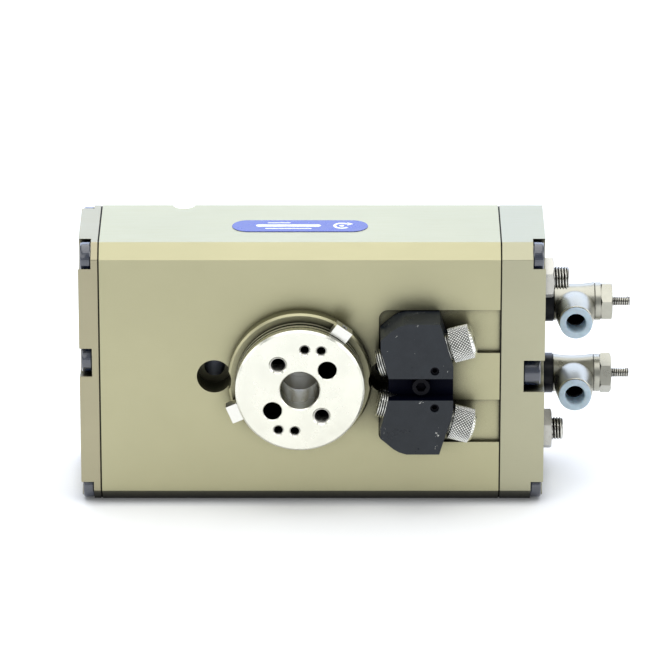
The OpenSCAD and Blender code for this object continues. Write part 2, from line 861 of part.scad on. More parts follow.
// A hexagonal nut on X whose corners are turned off at both ends; turn rolls it about its own axis
module nut_on_x(x0, x1, af, hole_r, y, z, turn = 0) {
    corner_r = af / 2 / cos(30);
    translate([0, y, z]) rotate([turn, 0, 0]) difference() {
        intersection() {
            hex_x(x0, x1, af);
            turned_x() polygon([
                [0, x0], [corner_r - 2 * nut_turn_off, x0], [corner_r, x0 + nut_turn_off],
                [corner_r, x1 - nut_turn_off], [corner_r - 2 * nut_turn_off, x1], [0, x1]
            ]);
        }
        rod_x(x0 - cut, x1 + cut, hole_r);
    }
}

module stop_lock_nuts() {
    color("#bdbab0") both_sides()
        nut_on_x(right_x, right_x + stop_nut_t, stop_nut_af, stop_d / 2 + fit, piston_y, piston_z);
}

// ---- port fittings ----
module port_collar(side) {
    color("#15171a") turned_x(port_y, side * port_z) band(port_thread_r, hub_body_d / 2, right_x, collar_x);
}

module banjo_bolt(side) {
    z = side * port_z;
    color("#cfccc0") difference() {
        union() {
            rod_x(right_x - port_thread_len, collar_x, port_thread_r, port_y, z);
            rod_x(collar_x, hub_x, shank_r, port_y, z);
            rod_x(hub_x, washer_x, washer_r, port_y, z);
        }
        rod_x(right_x - port_thread_len - cut, washer_x + cut, stem_r + fit, port_y, z);
        rod_y(port_y - cross_hole[0], port_y + cross_hole[0], cross_hole[1], barrel_x, z);
    }
}

module swivel_body(side) {
    z = side * port_z;
    color("#d8d5c8") difference() {
        union() {
            rod_x(collar_x + end_gap, hub_x - end_gap, hub_r, port_y, z);
            turned_y(barrel_x, z) polygon([
                [0, barrel_end_y], [barrel_r[0], barrel_end_y], [barrel_r[1], barrel_end_y + barrel_steps[0]],
                [barrel_r[2], barrel_end_y + barrel_steps[1]], [barrel_r[3], barrel_end_y + barrel_steps[2]],
                [barrel_r[3], port_y - barrel_steps[3]], [0, port_y - barrel_steps[3]]
            ]);
        }
        rod_x(collar_x, hub_x, shank_r + fit, port_y, z);
        turned_x(port_y, z) band(0, hub_groove[0], barrel_x - hub_groove[1], barrel_x + hub_groove[1]);
        rod_y(barrel_end_y - cut, grip_y, ring_sleeve_r + fit, barrel_x, z);
        rod_y(grip_y - tube_gap, grip_y + grip_len + tube_gap, grip_r, barrel_x, z);
        rod_y(grip_y, seal_y, tube_seat_r, barrel_x, z);
        rod_y(seal_y, seal_y + seal_len, grip_r, barrel_x, z);
        rod_y(seal_y, tube_stop_y, tube_d / 2 + tube_gap, barrel_x, z);
        rod_y(tube_stop_y, port_y, air_r, barrel_x, z);
    }
}

module grip_ring(side) {
    color("#b08a4a") turned_y(barrel_x, side * port_z)
        band(tube_hole_r + 0.1, grip_r, grip_y, grip_y + grip_len);
}

module tube_seal(side) {
    color("#1b1b1b") turned_y(barrel_x, side * port_z) band(tube_hole_r, grip_r, seal_y, seal_y + seal_len);
}

module release_ring(side) {
    color("#a9bdd2") turned_y(barrel_x, side * port_z) difference() {
        union() {
            band(tube_hole_r, ring_r, ring_y, ring_y + ring_disc_t);
            band(tube_hole_r, ring_sleeve_r, ring_y, grip_y - ring_press_gap);
        }
        polygon([
            [ring_r - ring_chamfer, ring_y], [ring_r + cut, ring_y + ring_chamfer + cut],
            [ring_r + cut, ring_y - cut], [ring_r - ring_chamfer - cut, ring_y - cut]
        ]);
    }
}

module needle_lock_nut(side, turn) {
    color("#d4d1c6")
        nut_on_x(washer_x, nut_x, needle_nut_af, stem_r + fit, port_y, side * port_z, turn);
}

module needle_stem(side) {
    z = side * port_z;
    color("#aeaba0") difference() {
        union() {
            rod_x(barrel_x + needle_tip[1], stem_x, stem_r, port_y, z);
            rod_x(barrel_x - needle_tip[0], barrel_x + needle_tip[1], needle_tip[2], port_y, z);
        }
        translate([stem_x - needle_slot[0], port_y - needle_slot[1] / 2, z - stem_r - cut])
            cube([needle_slot[0] + cut, needle_slot[1], 2 * (stem_r + cut)]);
    }
}

module upper_port_collar() port_collar(1);

module upper_banjo_bolt() banjo_bolt(1);

module upper_swivel_body() swivel_body(1);

module upper_grip_ring() grip_ring(1);

module upper_tube_seal() tube_seal(1);

module upper_release_ring() release_ring(1);

module upper_needle_lock_nut() needle_lock_nut(1, upper_nut_roll);

module upper_needle_stem() needle_stem(1);

module lower_port_collar() port_collar(-1);

module lower_banjo_bolt() banjo_bolt(-1);

module lower_swivel_body() swivel_body(-1);

module lower_grip_ring() grip_ring(-1);

module lower_tube_seal() tube_seal(-1);

module lower_release_ring() release_ring(-1);

module lower_needle_lock_nut() needle_lock_nut(-1, lower_nut_roll);

module lower_needle_stem() needle_stem(-1);

// ---- assembly ----
housing_block();
left_end_cap();
right_end_cap();
left_gasket();
right_gasket();
left_cap_screws();
right_cap_screws();
end_bumpers();
front_bearing_cover();
front_shaft_seal();
front_bearing_outer_race();
front_bearing_balls();
front_bearing_inner_race();
rear_bearing_outer_race();
rear_bearing_balls();
rear_bearing_inner_race();
rear_shaft_seal();
rear_cover();
rear_cover_screws();
label_plate();
output_flange();
pinion_shaft();
centre_sleeve();
cam_spacer_ring();
cam_retaining_ring();
cam_ring_a();
cam_screw_a();
cam_ring_b();
cam_screw_b();
upper_rack_piston();
upper_piston_seals();
upper_guide_bands();
lower_rack_piston();
lower_piston_seals();
lower_guide_bands();
sensor_bracket();
bracket_screw();
bracket_clamp_screws();
upper_sensor_plug();
lower_sensor_plug();
upper_stop_screw();
lower_stop_screw();
stop_lock_nuts();
upper_port_collar();
upper_banjo_bolt();
upper_swivel_body();
upper_grip_ring();
upper_tube_seal();
upper_release_ring();
upper_needle_lock_nut();
upper_needle_stem();
lower_port_collar();
lower_banjo_bolt();
lower_swivel_body();
lower_grip_ring();
lower_tube_seal();
lower_release_ring();
lower_needle_lock_nut();
lower_needle_stem();
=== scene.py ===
"""Looks of a rotary pneumatic actuator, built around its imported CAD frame, in metres in the row frame."""
import json
import math

import bmesh
import bpy
from mathutils import Matrix, Vector


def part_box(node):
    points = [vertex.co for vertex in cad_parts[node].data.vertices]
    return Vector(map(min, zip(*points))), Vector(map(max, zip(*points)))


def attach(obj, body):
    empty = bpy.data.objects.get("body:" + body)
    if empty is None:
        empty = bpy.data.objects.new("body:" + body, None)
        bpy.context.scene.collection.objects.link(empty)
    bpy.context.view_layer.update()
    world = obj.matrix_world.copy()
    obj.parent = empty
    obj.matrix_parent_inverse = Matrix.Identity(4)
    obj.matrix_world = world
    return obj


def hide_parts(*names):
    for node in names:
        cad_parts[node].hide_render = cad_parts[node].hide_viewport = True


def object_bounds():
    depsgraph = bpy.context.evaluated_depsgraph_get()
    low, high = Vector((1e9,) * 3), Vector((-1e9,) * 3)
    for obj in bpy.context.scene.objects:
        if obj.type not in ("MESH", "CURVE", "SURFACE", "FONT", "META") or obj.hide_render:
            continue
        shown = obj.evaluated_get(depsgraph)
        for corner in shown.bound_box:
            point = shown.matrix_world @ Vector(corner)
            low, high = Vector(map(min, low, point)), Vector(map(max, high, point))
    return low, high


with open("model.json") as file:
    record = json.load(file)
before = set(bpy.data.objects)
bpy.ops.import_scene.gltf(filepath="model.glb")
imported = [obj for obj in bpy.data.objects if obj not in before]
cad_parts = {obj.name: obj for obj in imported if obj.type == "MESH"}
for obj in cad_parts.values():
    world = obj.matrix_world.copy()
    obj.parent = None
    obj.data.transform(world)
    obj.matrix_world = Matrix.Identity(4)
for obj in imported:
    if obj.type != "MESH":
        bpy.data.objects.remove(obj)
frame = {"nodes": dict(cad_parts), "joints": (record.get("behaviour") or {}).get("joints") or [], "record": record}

CAD_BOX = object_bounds()
MM = 0.001
MICRON = 0.000001
TAU = 2 * math.pi
JOINTS = {j["name"]: j for j in frame["joints"]}


# ---------------------------------------------------------------- materials
class Shader:
    """A small helper that adds nodes to one material and links them."""

    def __init__(self, name):
        self.material = bpy.data.materials.new(name)
        self.material.use_nodes = True
        self.tree = self.material.node_tree
        self.surface = self.tree.nodes["Principled BSDF"]
        self.place = self.add("ShaderNodeTexCoord").outputs["Object"]

    def add(self, kind, **values):
        node = self.tree.nodes.new(kind)
        for key, value in values.items():
            if hasattr(node, key):
                setattr(node, key, value)
            else:
                self.feed(node.inputs[key.replace("_", " ").title()], value)
        return node

    def feed(self, socket, value):
        if isinstance(value, bpy.types.NodeSocket):
            self.tree.links.new(value, socket)
        else:
            socket.default_value = value

    def math(self, operation, a, b=0.0):
        node = self.add("ShaderNodeMath", operation=operation)
        self.feed(node.inputs[0], a)
        self.feed(node.inputs[1], b)
        return node.outputs[0]

    def split(self):
        """The object's own X, Y and Z."""
        node = self.add("ShaderNodeSeparateXYZ")
        self.feed(node.inputs[0], self.place)
        return [node.outputs[axis] for axis in "XYZ"]

    def radius(self):
        """The distance from the output axis."""
        x, _, z = self.split()
        return self.math("SQRT", self.math("ADD", self.math("MULTIPLY", x, x), self.math("MULTIPLY", z, z)))

    def stretched(self, scale):
        """The object's own coordinates, multiplied by scale along X, Y and Z."""
        node = self.add("ShaderNodeMapping")
        self.feed(node.inputs["Vector"], self.place)
        node.inputs["Scale"].default_value = scale
        return node.outputs["Vector"]

    def noise(self, scale, detail=3.0, vector=None, rough=0.55):
        node = self.add("ShaderNodeTexNoise")
        self.feed(node.inputs["Vector"], vector or self.place)
        node.inputs["Scale"].default_value = scale
        node.inputs["Detail"].default_value = detail
        node.inputs["Roughness"].default_value = rough
        return node.outputs["Fac"]

    def spread(self, value, low, high, start=0.3, end=0.7):
        """Maps a texture value from start..end onto low..high."""
        node = self.add("ShaderNodeMapRange")
        for key, number in (("From Min", start), ("From Max", end), ("To Min", low), ("To Max", high)):
            node.inputs[key].default_value = number
        self.feed(node.inputs["Value"], value)
        return node.outputs["Result"]

    def blend(self, factor, dark, light):
        node = self.add("ShaderNodeMix", data_type="RGBA")
        self.feed(node.inputs[0], factor)
        for socket, colour in ((node.inputs[6], dark), (node.inputs[7], light)):
            if isinstance(colour, bpy.types.NodeSocket):
                self.tree.links.new(colour, socket)
            else:
                socket.default_value = (*colour, 1)
        return node.outputs[2]

    def bump(self, height, depth, normal=None):
        node = self.add("ShaderNodeBump")
        self.feed(node.inputs["Height"], height)
        node.inputs["Distance"].default_value = depth
        node.inputs["Strength"].default_value = 1.0
        if normal is not None:
            self.feed(node.inputs["Normal"], normal)
        return node.outputs["Normal"]

    def open_sky(self, reach, high=1.0, low=0.0, start=0.3, end=0.75):
        """high on open faces, falling to low in holes, gaps and inner corners no wider than about reach."""
        node = self.add("ShaderNodeAmbientOcclusion", samples=6)
        node.inputs["Distance"].default_value = reach
        return self.spread(node.outputs["AO"], low, high, start, end)

    def painted_crevice_shade(self, base, reach, floor=0.12, start=0.15, end=0.85):
        """Darkens base as painted shade in holes, gaps and inner corners no wider than about reach."""
        open_sky = self.open_sky(reach, 1.0, floor, start, end)
        mix = self.add("ShaderNodeMix", data_type="RGBA", blend_type="MULTIPLY")
        mix.inputs[0].default_value = 1.0
        self.feed(mix.inputs[6], base)
        self.feed(mix.inputs[7], open_sky)
        return mix.outputs[2]

    def relief(self):
        """1 on the crests of a piece's knurl or thread and 0 in its valleys."""
        return self.add("ShaderNodeAttribute", attribute_name="relief").outputs["Fac"]

    def finish(self, **values):
        for key, value in values.items():
            self.feed(self.surface.inputs[key.replace("_", " ")], value)
        return self.material


def shade(colour, factor):
    return tuple(min(1.0, c * factor) for c in colour)


def anodised(name, colour, streaks=0.5, scratches=0.0):
    """Satin anodised aluminium: faint cloudiness, milling streaks along X and a fine blasted grain."""
    s = Shader(name)
    cloud = s.noise(14, 4)
    streak = s.noise(1.0, 4, s.stretched((60, 2600, 2600)))
    grain = s.noise(5200, 2)
    tone = s.math("ADD", s.math("MULTIPLY", cloud, 0.55), s.math("MULTIPLY", streak, 0.3 * streaks))
    tone = s.math("ADD", tone, s.math("MULTIPLY", grain, 0.18))
    base = s.blend(s.spread(tone, 0, 1, 0.32, 0.72), shade(colour, 0.93), shade(colour, 1.07))
    rough = s.spread(streak, 0.36, 0.46)
    if scratches:
        scratch = s.noise(1.0, 5, s.stretched((90, 900, 5200)), 0.7)
        mark = s.spread(scratch, 0, scratches, 0.66, 0.74)
        base = s.blend(mark, base, shade(colour, 0.72))
    # Holes, gaps and inner corners are darkened as painted shade.
    base = s.painted_crevice_shade(base, 15 * MM, 0.03, 0.22, 0.8)
    normal = s.bump(s.math("ADD", s.math("MULTIPLY", streak, streaks), grain), 3.5 * MICRON)
    return s.finish(Base_Color=base, Metallic=0.94, Roughness=rough, Normal=normal,
                    Coat_Weight=0.2, Coat_Roughness=0.3)


def turned_nickel(name, colour, ring_pitch=0.28 * MM, rough=0.26):
    """Nickel plate with fine turning rings about the output axis and a slightly cloudy sheen."""
    s = Shader(name)
    rings = s.math("SINE", s.math("MULTIPLY", s.radius(), TAU / ring_pitch))
    wobble = s.noise(1.0, 3, s.stretched((420, 3000, 420)))
    cloud = s.noise(70, 4)
    speck = s.noise(2600, 3)
    tone = s.math("ADD", s.math("MULTIPLY", cloud, 0.7), s.math("MULTIPLY", speck, 0.3))
    base = s.blend(s.spread(tone, 0, 1, 0.38, 0.62), shade(colour, 0.9), shade(colour, 1.04))
    # Holes, gaps and inner corners are darkened as painted shade.
    base = s.painted_crevice_shade(base, 6 * MM, 0.03, 0.3, 0.8)
    height = s.math("ADD", s.math("MULTIPLY", rings, 0.25), s.math("ADD", wobble, speck))
    return s.finish(Base_Color=base, Metallic=1.0, Roughness=s.spread(cloud, rough - 0.05, rough + 0.07),
                    Normal=s.bump(height, 2.2 * MICRON))


def plated(name, colour, rough=0.2, grime=0.12, grain=2.0, valleys=None):
    """Plated metal with uneven polish, small spots and dull patches, painted shade in its valleys if it is
    threaded, and painted shade in its holes and inner corners.
    """
    s = Shader(name)
    cloud = s.noise(160, 4)
    speck = s.noise(3200, 3)
    spots = s.spread(s.noise(900, 2), 0, grime, 0.6, 0.72)
    base = s.blend(s.spread(cloud, 0, 1, 0.35, 0.65), shade(colour, 0.9), shade(colour, 1.04))
    base = s.blend(spots, base, shade(colour, 0.55))
    # Thread valleys are painted dark as painted shade.
    if valleys is not None:
        base = s.blend(s.spread(s.relief(), 0, 1, 0.1, 0.8), shade(colour, valleys), base)
    # Holes and inner corners are darkened as painted shade.
    base = s.painted_crevice_shade(base, 4 * MM, 0.05, 0.2, 0.7)
    return s.finish(Base_Color=base, Metallic=1.0, Roughness=s.spread(cloud, rough - 0.05, rough + 0.08),
                    Normal=s.bump(speck, MICRON * grain))


def knurled(name, colour):
    """Plated knurl: the valleys are painted dark as painted shade, the crests are lighter and rubbed smoother."""
    s = Shader(name)
    speck = s.noise(2400, 3)
    # Valleys are painted nearly black as painted shade and crests lighter; the crests are also smoother, as
    # rubbed.
    shade_and_wear = s.math("ADD", s.relief(), s.math("MULTIPLY", s.math("SUBTRACT", speck, 0.5), 0.3))
    base = s.blend(s.spread(shade_and_wear, 0, 1, 0.25, 0.8), shade(colour, 0.12), shade(colour, 1.1))
    return s.finish(Base_Color=base, Metallic=1.0, Roughness=s.spread(shade_and_wear, 0.5, 0.22, 0.2, 0.8),
                    Normal=s.bump(speck, 3 * MICRON))


def black_finish(name, colour, light, rough=0.42, metallic=0.0, grain=3.0, scale=3600, gloss=0.5, chips=0.0,
                 coat=0.0, groove=None):
    """Black oxide, anodised or moulded black, with grain and faint rubbed patches, and its specular level dimmed
    in holes and inner corners as painted shade. groove is (half width in Z, Y where it starts) of a slot painted
    near-black as painted shade."""
    s = Shader(name)
    cloud = s.noise(120, 5)
    speck = s.noise(scale, 3)
    tone = s.math("ADD", s.math("MULTIPLY", cloud, 0.6), s.math("MULTIPLY", speck, 0.4))
    base = s.blend(s.spread(tone, 0, 1, 0.36, 0.66), colour, light)
    if chips:
        chip = s.math("MULTIPLY", s.spread(s.noise(230, 3), 0, 1, 0.655, 0.67),
                      s.spread(s.noise(1900, 2), 0, 1, 0.60, 0.64))
        base = s.blend(s.math("MULTIPLY", chip, chips), base, (0.62, 0.62, 0.58))
    # The specular level is dimmed in holes and inner corners as painted shade.
    shine = s.open_sky(9 * MM, gloss)
    # Inside the slot the colour is painted near-black and the specular dimmed, as painted shade.
    if groove:
        _, y, z = s.split()
        inside = s.math("LESS_THAN", s.math("ABSOLUTE", z), groove[0])
        deep = s.math("GREATER_THAN", y, groove[1])
        outside = s.math("SUBTRACT", 1, s.math("MULTIPLY", inside, deep))
        shine = s.math("MULTIPLY", shine, s.math("MAXIMUM", outside, 0.12))
        base = s.blend(outside, (0.0015, 0.002, 0.007), base)
    return s.finish(Base_Color=base, Metallic=metallic, Roughness=s.spread(cloud, rough - 0.08, rough + 0.08),
                    Normal=s.bump(speck, MICRON * grain), Specular_IOR_Level=shine,
                    Coat_Weight=coat, Coat_Roughness=0.12)


def moulded(name, colour, rough=0.35, scatter=0.15, shaded=0.0):
    """Light moulded plastic with faint flow marks, and deep shade inside its holes if shaded is a reach."""
    s = Shader(name)
    flow = s.noise(220, 5)
    speck = s.noise(2800, 2)
    base = s.blend(s.spread(flow, 0, 1, 0.35, 0.65), shade(colour, 0.88), shade(colour, 1.08))
    if shaded:
        base = s.painted_crevice_shade(base, shaded, 0.02, 0.4, 0.75)
    return s.finish(Base_Color=base, Roughness=s.spread(flow, rough - 0.06, rough + 0.1),
                    Normal=s.bump(speck, 2.5 * MICRON), Subsurface_Weight=scatter, Subsurface_Scale=0.0015)


def cam_stack(name, colour):
    """Nickel plate whose rim is painted near-black as painted shade between the stacked rings. The lugs beyond it
    get no painted shade.
    """
    s = Shader(name)
    on_rim = s.math("LESS_THAN", s.radius(), RIM_R)
    y, shaded = s.split()[1], 0.0
    for centre, half in RING_GAPS:
        away = s.math("ABSOLUTE", s.math("SUBTRACT", y, centre))
        shaded = s.math("MAXIMUM", shaded, s.spread(away, 1, 0, 0.8 * half, 1.1 * half))
    speck = s.noise(2600, 3)
    base = s.blend(s.spread(speck, 0, 1), shade(colour, 0.92), colour)
    base = s.blend(s.math("MULTIPLY", shaded, on_rim), base, (0.02, 0.02, 0.018))
    return s.finish(Base_Color=base, Metallic=1.0, Roughness=0.3, Normal=s.bump(speck, 3 * MICRON))


RIM_R = 27.9 * MM
# (middle, half width) along Y of each shaded gap between the stacked rings
RING_GAPS = ((4.35 * MM, 0.45 * MM), (7.35 * MM, 0.9 * MM), (10.4 * MM, 0.75 * MM))
OLIVE = (0.455, 0.432, 0.268)
STEEL = (0.52, 0.51, 0.47)
NICKEL = (0.76, 0.74, 0.68)
MATERIALS = {
    "olive_anodised": anodised("olive_anodised", OLIVE),
    "left_cap_anodised": anodised("left_cap_anodised", (0.395, 0.362, 0.240)),
    "right_cap_anodised": anodised("right_cap_anodised", (0.415, 0.400, 0.275), 0.8, 0.5),
    "flange_nickel": turned_nickel("flange_nickel", (0.81, 0.80, 0.70)),
    "plug_nickel": knurled("plug_nickel", (0.80, 0.80, 0.76)),
    "fitting_nickel": plated("fitting_nickel", (0.44, 0.43, 0.365), 0.3),
    "zinc_steel": plated("zinc_steel", STEEL, 0.28, 0.25),
    "shaft_steel": plated("shaft_steel", (0.235, 0.205, 0.125), 0.42, 0.2),
    "bearing_steel": plated("bearing_steel", (0.66, 0.66, 0.66), 0.12, 0.05),
    # The brass grip rings are coloured dark grey as painted shade deep in the fittings' bores.
    "brass": plated("brass", (0.12, 0.11, 0.10), 0.25, 0.2),
    "black_anodised": black_finish("black_anodised", (0.010, 0.013, 0.017), (0.020, 0.024, 0.030), 0.34,
                                   gloss=0.32, chips=1.0, groove=(5.05 * MM, 1.7 * MM)),
    "black_screw": black_finish("black_screw", (0.006, 0.010, 0.024), (0.016, 0.023, 0.045), 0.22,
                                gloss=0.9, coat=1.0),
    "black_plastic": black_finish("black_plastic", (0.004, 0.005, 0.008), (0.008, 0.009, 0.014), 0.34),
    "rubber": black_finish("rubber", (0.003, 0.003, 0.003), (0.006, 0.006, 0.006), 0.6, 0.0, 6.0,
                           gloss=0.2),
    "gasket": black_finish("gasket", (0.010, 0.009, 0.006), (0.022, 0.020, 0.014), 0.7, 0.0, 6.0,
                           gloss=0.2),
    "guide_band": moulded("guide_band", (0.50, 0.42, 0.28), 0.5, 0.0),
    "ring_plastic": moulded("ring_plastic", (0.44, 0.55, 0.63), 0.3, 0.1, 5 * MM),
    "label_film": moulded("label_film", (0.036, 0.062, 0.39), 0.22, 0.0),
}
STUD = plated("zinc_stud", shade(STEEL, 1.25), 0.26, 0.25, valleys=0.05)
STEM = plated("nickel_stem", NICKEL, 0.2, valleys=0.1)
TAPPED = plated("tapped_nickel", NICKEL, 0.3, valleys=0.05)
CAMS = cam_stack("cam_nickel", (0.84, 0.83, 0.77))
# Near-black with little specular, as painted shade, for the screws sunk in the bracket's slot and holes.
SUNK_SHADE = black_finish("sunk_shade_black", (0.002, 0.002, 0.004), (0.005, 0.005, 0.008), 0.5, gloss=0.12)
SHADE = black_finish("hole_shade", (0.001, 0.001, 0.001), (0.003, 0.003, 0.003), 0.7, gloss=0.05)
INK = moulded("label_ink", (0.86, 0.87, 0.88), 0.3, 0.0)
EDGE_WIDTHS = {"housing_block": 0.25 * MM, "left_end_cap": 0.3 * MM, "right_end_cap": 0.3 * MM,
               "sensor_bracket": 0.3 * MM}
FINE_EDGE = 0.12 * MM
SLOTS = {s["node"]: s["material_slot"] for s in frame["record"]["subparts"]}


# ---------------------------------------------------------------- mesh building
def smooth_by_angle(mesh, limit_deg):
    """Smooth shading, with edges sharper than the limit left sharp."""
    mesh.polygons.foreach_set("use_smooth", [True] * len(mesh.polygons))
    mesh.set_sharp_from_angle(angle=math.radians(limit_deg))


def spun(name, stations, around, place, loop=False, limit_deg=35, depth=0.0):
    """A surface about a line. Each station is (distance along the line, radius), where the radius is a number
    or a function of the angle. place turns local +X into the line. A closed ring has loop=True. depth is
    that of its knurl or thread, which goes into the relief attribute."""
    verts, faces, rows, relief = [], [], [], []
    for station, (along, radius) in enumerate(stations):
        if not callable(radius) and radius == 0:
            rows.append([len(verts)])
            verts.append((along, 0, 0))
            relief.append(None)
            continue
        rows.append(list(range(len(verts), len(verts) + around)))
        for i in range(around):
            angle = TAU * i / around
            r = radius(angle) if callable(radius) else radius
            verts.append((along, r * math.cos(angle), r * math.sin(angle)))
            relief.append((r, station) if callable(radius) and depth else None)
    pairs = list(zip(rows, rows[1:])) + ([(rows[-1], rows[0])] if loop else [])
    for a, b in pairs:
        for i in range(around):
            j = (i + 1) % around
            if len(a) == 1:
                faces.append((a[0], b[i], b[j]))
            elif len(b) == 1:
                faces.append((a[i], b[0], a[j]))
            else:
                faces.append((a[i], b[i], b[j], a[j]))
    mesh = bpy.data.meshes.new(name)
    mesh.from_pydata(verts, [], faces)
    if depth:
        crest = {}
        for item in filter(None, relief):
            crest[item[1]] = max(item[0], crest.get(item[1], 0))
        values = [1.0 if item is None else 1 - (crest[item[1]] - item[0]) / depth for item in relief]
        mesh.attributes.new("relief", "FLOAT", "POINT").data.foreach_set("value", values)
    mesh.transform(place)
    mesh.validate()
    tidy_normals(mesh)
    smooth_by_angle(mesh, limit_deg)
    piece = bpy.data.objects.new(name, mesh)
    bpy.context.scene.collection.objects.link(piece)
    return piece


def tidy_normals(mesh):
    """Turns every face outwards."""
    work = bmesh.new()
    work.from_mesh(mesh)
    bmesh.ops.recalc_face_normals(work, faces=work.faces)
    work.to_mesh(mesh)
    work.free()


def dress(piece, material, body, slot, *nodes):
    """Gives a piece its material and its body, and hides the CAD nodes that it stands for. slot is not used."""
    piece.data.materials.clear()
    piece.data.materials.append(MATERIALS[material] if isinstance(material, str) else material)
    if nodes:
        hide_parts(*nodes)
    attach(piece, body)
    return piece


def line_from(point, direction):
    """The matrix that puts local +X along direction, starting at point."""
    turn = Vector((1, 0, 0)).rotation_difference(Vector(direction)).to_matrix().to_4x4()
    return Matrix.Translation(point) @ turn


# Depth of a screw thread as a share of its pitch
THREAD_DEPTH = 0.6


def zigzag(t):
    """0 at whole numbers and 1 half way between them."""
    return 1 - abs(2 * (t % 1) - 1)


def thread_stations(start, end, radius, pitch, chamfer, steps=8):
    """Stations of a screw thread, whose crest runs as a helix and fades out at both chamfered ends."""
    depth = THREAD_DEPTH * pitch
    count = max(2, round((end - start) / pitch * steps))
    stations = [(start, 0)]
    for k in range(count + 1):
        s = start + (end - start) * k / count
        limit = radius - max(0, chamfer - (s - start), chamfer - (end - s))

        def ridge(angle, s=s, limit=limit):
            height = min(1.0, 1.25 * zigzag(s / pitch - angle / TAU))
            return min(limit, radius - depth * (1 - height))

        stations.append((s, ridge))
    return stations + [(end, 0)]


def hexagon(across_flats):
    """The radius of a hexagon as a function of the angle."""
    return lambda angle: across_flats / 2 / math.cos((angle + TAU / 12) % (TAU / 6) - TAU / 12)


# ---------------------------------------------------------------- CAD nodes that stay
def finish_cad_nodes(width):
    """Each CAD node gets its material, fine edge chamfers and clean shading. Its own mesh isn't changed."""
    for name, node in frame["nodes"].items():
        node.data.materials.clear()
        node.data.materials.append(MATERIALS[SLOTS[name]])
        if "custom_normal" in node.data.attributes:
            node.data.attributes.remove(node.data.attributes["custom_normal"])
        node.data.polygons.foreach_set("use_smooth", [True] * len(node.data.polygons))
        weld = node.modifiers.new("weld", "WELD")
        weld.merge_threshold = 0.002 * MM
        bevel = node.modifiers.new("edge", "BEVEL")
        bevel.width = width.get(name, FINE_EDGE)
        bevel.segments = 2
        bevel.limit_method = "ANGLE"
        bevel.angle_limit = math.radians(32)
        bevel.harden_normals = True
        bevel.use_clamp_overlap = True
    looks = {"cam_ring_a": CAMS, "cam_ring_b": CAMS, "bracket_screw": SUNK_SHADE, "bracket_clamp_screws": SUNK_SHADE}
    for name, look in looks.items():
        frame["nodes"][name].data.materials.clear()
        frame["nodes"][name].data.materials.append(look)


# ---------------------------------------------------------------- pieces
def along_and_away(node, origin, direction):
    """(distance along the line, distance from it) of each corner of a CAD node."""
    pairs = []
    for corner in frame["nodes"][node].data.vertices:
        offset = corner.co - origin
        along = offset.dot(direction)
        pairs.append((along, (offset - along * direction).length))
    return pairs


def sensor_plug(side):
    """A threaded plug with a diamond-knurled head."""
    node = f"{side}_sensor_plug"
    joint = JOINTS[f"{side}_plug_adjust"]
    direction = Vector(joint["axis"]).normalized()
    low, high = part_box(node)
    origin = Vector((0, (low.y + high.y) / 2, 0))
    place = line_from(origin, direction)
    head_r, thread_r, pitch = (high.y - low.y) / 2, 6 * MM, 1.0 * MM
    corners = along_and_away(node, origin, direction)
    tip, end = min(corners)[0], max(corners)[0]
    neck = min(along for along, away in corners if away > thread_r + 0.5 * MM)
    thread = thread_stations(tip, neck, thread_r, pitch, 0.5 * MM)
    teeth, depth, rows = 34, 0.55 * MM, 8
    knurl_pitch = TAU * head_r / teeth
    near_edge, far_edge, dish = 0.5 * MM, 1.4 * MM, 0.25 * MM
    start, stop = neck + near_edge, end - far_edge
    count = round((stop - start) / knurl_pitch * rows)
    stations = thread[:-1]
    stations += [(neck, 5.2 * MM), (neck, head_r - 0.9 * MM), (start - 0.1 * MM, head_r - 0.3 * MM)]
    for k in range(count + 1):
        s = start + (stop - start) * k / count

        def diamond(angle, s=s):
            turn, step = angle / TAU * teeth, (s - start) / knurl_pitch
            height = min(zigzag(turn + step), zigzag(turn - step))
            return head_r - depth * (1 - min(1.0, 1.5 * height))

        stations.append((s, diamond))
    stations += [(stop + 0.15 * MM, head_r - 0.35 * MM), (end - 0.1 * MM, head_r - 1.5 * MM),
                 (end, head_r - 1.8 * MM), (end, 3.2 * MM), (end - dish, 3.0 * MM), (end - dish, 0)]
    piece = spun(f"{side}_knurled_plug", stations, teeth * rows, place, limit_deg=60, depth=depth)
    return dress(piece, "plug_nickel", f"{side}_plug", "plug_nickel", node)


def stop_stud(side):
    """A stop screw with a real helical thread and a hexagon socket in its outer end."""
    node = f"{side}_stop_screw"
    low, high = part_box(node)
    centre = (low + high) / 2
    place = Matrix.Translation((0, centre.y, centre.z))
    r, pitch, chamfer, socket_end = (high.z - low.z) / 2, 1.25 * MM, 0.8 * MM, high.x - 4 * MM
    socket = hexagon(5 * MM)
    stations = thread_stations(low.x, high.x, r, pitch, chamfer)[:-1]
    stations += [(high.x, 3.4 * MM), (high.x, socket), (socket_end, socket), (socket_end, 0)]
    piece = spun(f"{side}_stop_stud", stations, 72, place, limit_deg=50, depth=THREAD_DEPTH * pitch)
    return dress(piece, STUD, f"{side}_stop", "zinc_steel", node)


